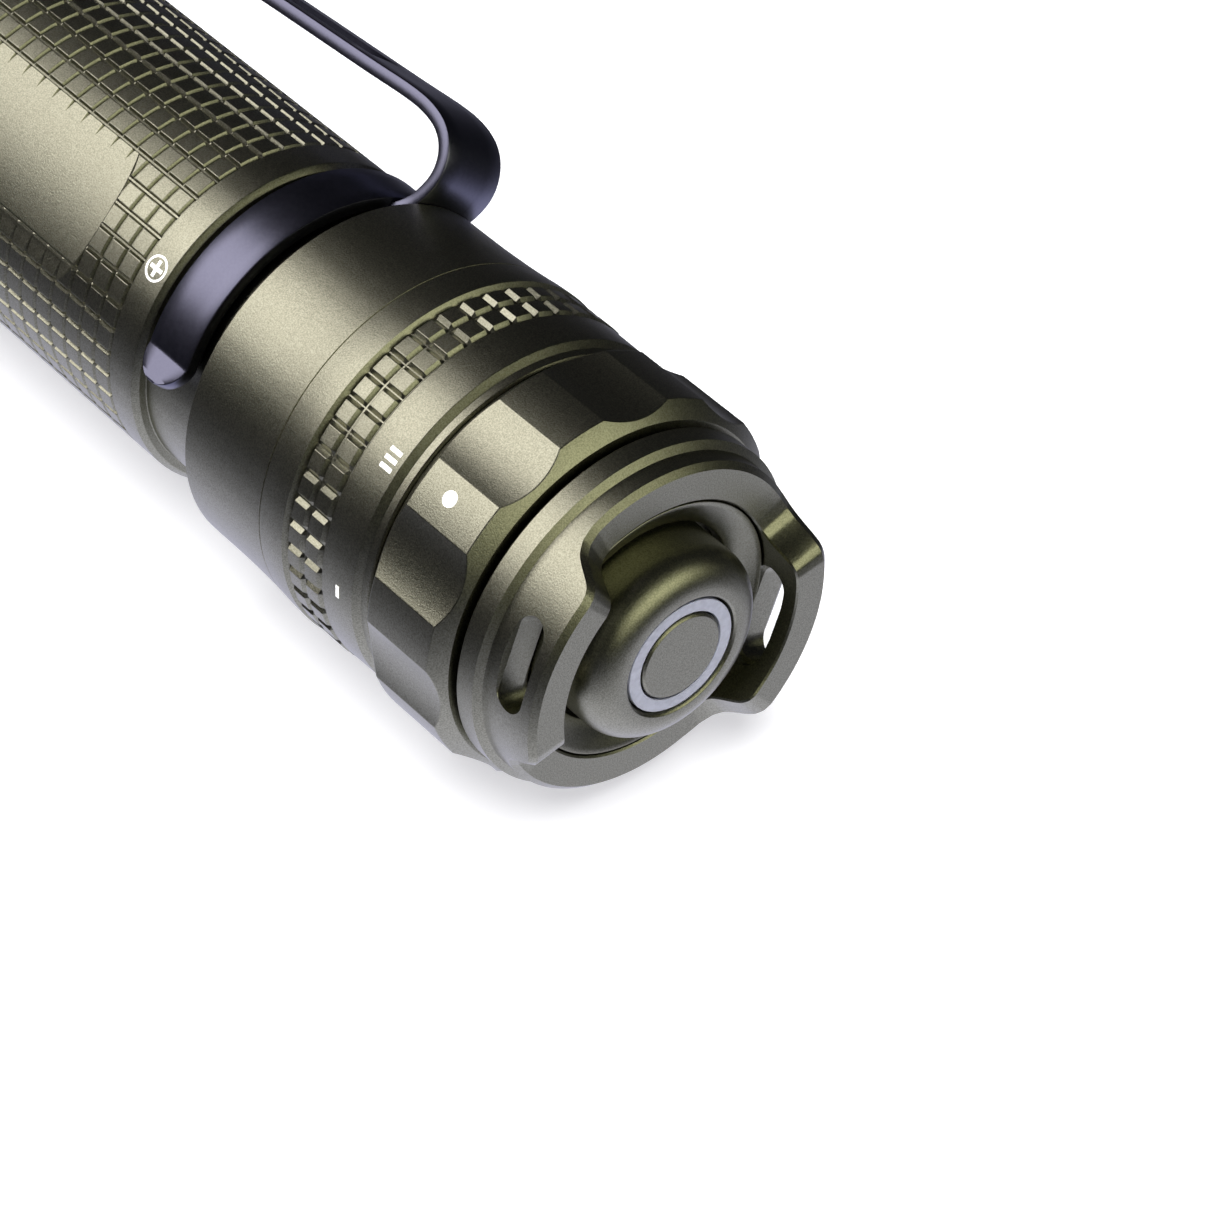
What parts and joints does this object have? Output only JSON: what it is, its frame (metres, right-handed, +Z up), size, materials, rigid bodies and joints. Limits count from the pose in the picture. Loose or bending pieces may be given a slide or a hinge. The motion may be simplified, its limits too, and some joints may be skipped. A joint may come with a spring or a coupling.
{
  "type": "tactical flashlight",
  "caption": "Tactical flashlight: knurled battery tube, tail switch housing with turning selector ring, winged tail cap, lit push button and deep-carry pocket clip.",
  "frame": {"origin": "centre of the bounding box in X and Y, at the height of the surface the light lies on", "axes": "+X along the light's axis towards the tail switch, -X the way the beam leaves, +Z up; the light lies on its side with the pocket clip up and to +Y"},
  "size_m": [0.1542, 0.0302, 0.0313],
  "materials": {
    "olive_anodised": "bead-blasted hard anodised, satin",
    "black_steel": "smooth satin black coating on spring steel",
    "bezel_metal": "satin black",
    "steel": "plain",
    "brass": "plain, lightly worn",
    "copper": "copper core board",
    "rubber": "matt",
    "circuit_board": "solder mask",
    "black_plastic": "moulded",
    "cell_wrap": "satin heat-shrink film",
    "mirror": "vacuum metallised",
    "clear_glass": "coated mineral glass",
    "light_guide": "translucent, satin face",
    "phosphor": "LED phosphor",
    "wire_red": "insulated wire",
    "wire_black": "insulated wire"
  },
  "bodies": {
    "light_body": {"battery_tube": "olive_anodised", "head_body": "olive_anodised", "strike_bezel": "bezel_metal", "lens_gasket": "rubber", "lens": "clear_glass", "reflector": "mirror", "led_centring_ring": "black_plastic", "led_emitter": "phosphor", "led_board": "copper", "led_wire_positive": "wire_red", "led_wire_negative": "wire_black", "driver_board": "circuit_board", "driver_inductor": "black_plastic", "driver_retaining_ring": "brass", "driver_spring": "brass", "head_o_ring": "rubber", "battery_cell": "cell_wrap", "cell_positive_cap": "steel", "cell_negative_plate": "steel", "tail_o_ring": "rubber"},
    "clip": {"pocket_clip": "black_steel"},
    "tail_contact": {"tail_contact_spring": "brass"},
    "tail": {"switch_housing": "olive_anodised", "contact_retaining_ring": "brass", "contact_board": "circuit_board", "tail_cap": "olive_anodised", "ring_o_ring_front": "rubber", "ring_o_ring_rear": "rubber", "detent_ball": "steel", "detent_spring": "steel", "switch_board": "circuit_board", "tact_switch": "black_plastic", "hall_sensor": "black_plastic", "indicator_led_left": "phosphor", "indicator_led_right": "phosphor", "switch_carrier": "black_plastic", "switch_boot": "rubber", "switch_bezel": "olive_anodised"},
    "selector": {"selector_ring": "olive_anodised", "selector_magnet": "steel"},
    "button": {"switch_button": "olive_anodised", "button_light_ring": "light_guide", "button_plunger": "olive_anodised"}
  },
  "joints": [
    {"name": "clip_turn", "type": "hinge", "parent": "light_body", "child": "clip", "pos_m": [0.03628, -0.00049, 0.01465], "axis": [1, 0, 0], "continuous": true},
    {"name": "tail_travel", "type": "slide", "parent": "light_body", "child": "tail_contact", "axis": [1, 0, 0], "range_m": [0, 0.0055]},
    {"name": "tail_unscrew", "type": "hinge", "parent": "tail_contact", "child": "tail", "pos_m": [0.04827, -0.00049, 0.01465], "axis": [1, 0, 0], "range_deg": [0, 1980]},
    {"name": "selector_turn", "type": "hinge", "parent": "tail", "child": "selector", "pos_m": [0.06527, -0.00049, 0.01465], "axis": [1, 0, 0], "range_deg": [0, 90]},
    {"name": "button_press", "type": "slide", "parent": "tail", "child": "button", "axis": [-1, 0, 0], "range_m": [0, 0.0012], "stiffness_N_per_m": 800, "springref_m": -0.001}
  ],
  "couplings": [
    {"joint": "tail_travel", "follows": "tail_unscrew", "m_per_rad": 0.00015915}
  ]
}
